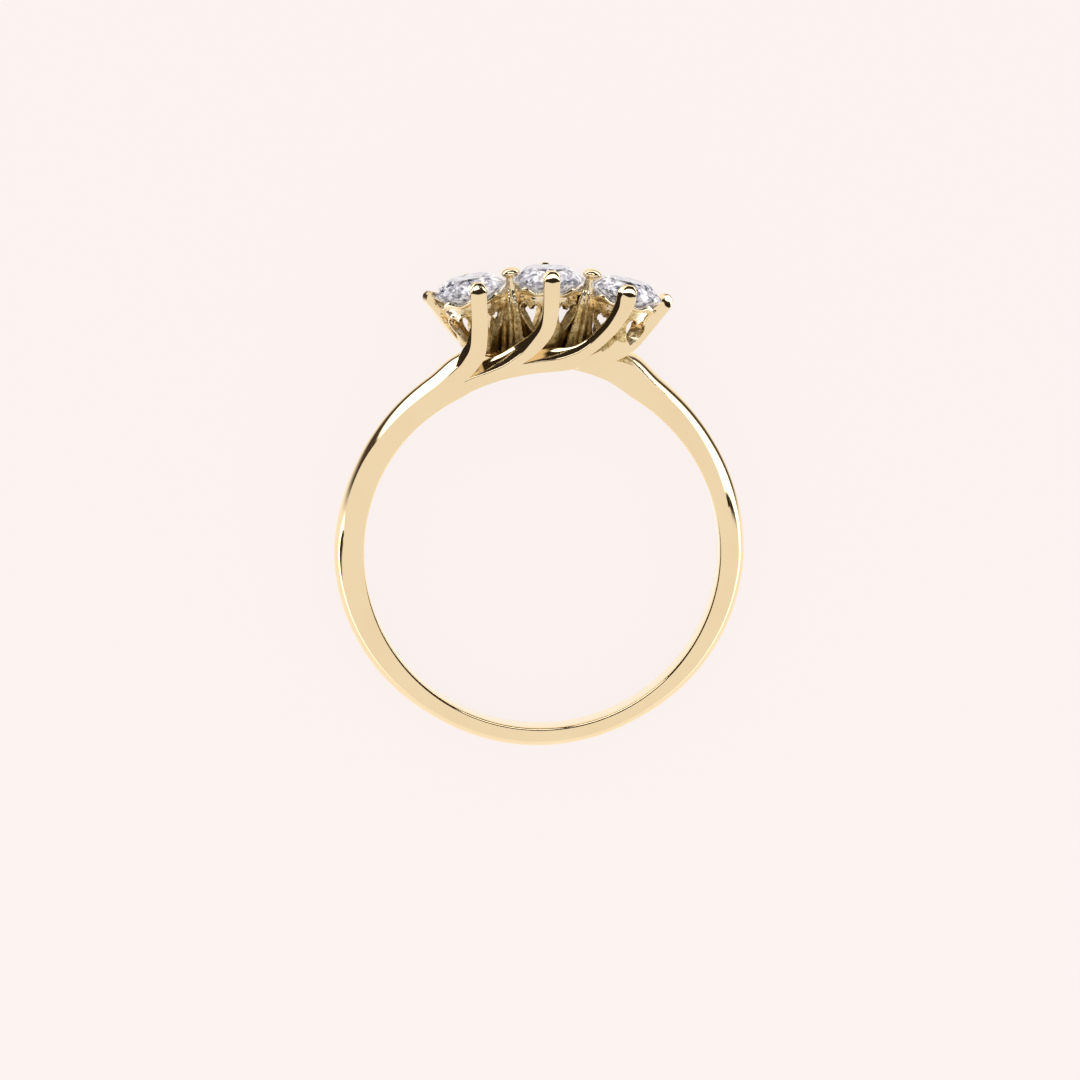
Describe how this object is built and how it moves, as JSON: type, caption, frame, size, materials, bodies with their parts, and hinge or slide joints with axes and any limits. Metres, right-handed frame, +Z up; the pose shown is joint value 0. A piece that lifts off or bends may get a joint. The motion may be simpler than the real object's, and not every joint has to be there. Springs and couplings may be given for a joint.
{
  "type": "three stone ring",
  "caption": "Finger ring of polished gold whose band fans out into a swirl of flat claws that hold round brilliant stones in a row over pierced cups.",
  "frame": {"origin": "centre of the finger hole, halfway along the finger", "axes": "the ring lies on its back, as on a table: +Z up, along the finger but for a lean of 3.4 degrees; +Y from the finger hole towards the stones; +X to the right seen from above"},
  "size_m": [0.0195, 0.023, 0.0044],
  "materials": {
    "gold": "polished yellow gold, rough as cast inside the cups",
    "stone": "clear, brilliant cut"
  },
  "bodies": {
    "root": {"ring_mount": "gold", "stone_left": "stone", "stone_centre": "stone", "stone_right": "stone"}
  },
  "joints": []
}
